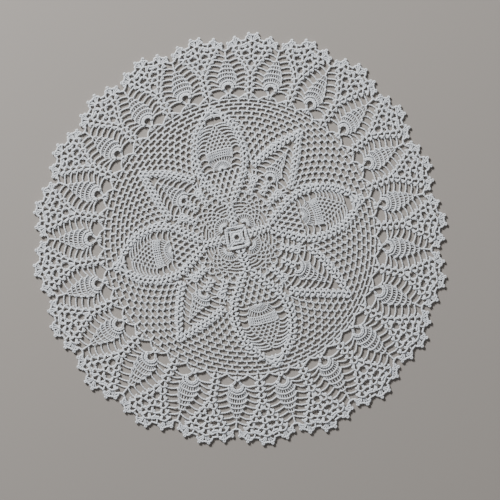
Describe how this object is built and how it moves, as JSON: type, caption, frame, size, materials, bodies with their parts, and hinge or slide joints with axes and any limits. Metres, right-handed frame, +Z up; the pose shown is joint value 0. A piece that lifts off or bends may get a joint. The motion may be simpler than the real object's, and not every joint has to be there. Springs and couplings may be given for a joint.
{
  "type": "crochet tablecloth",
  "caption": "Round crochet lace tablecloth with a star of petals in a net ground and a scalloped pineapple border, lying flat.",
  "frame": {"origin": "on the surface the cloth lies on, under the middle of its outline", "axes": "+Z up out of the cloth's right side, +X and +Y in the plane of the cloth; the first oval petal of the star points about 17 degrees from +X towards +Y"},
  "size_m": [0.4607, 0.4595, 0.0024],
  "materials": {
    "cotton": "matt white crochet cotton"
  },
  "bodies": {
    "root": {"crochet_cloth": "cotton"}
  },
  "joints": []
}
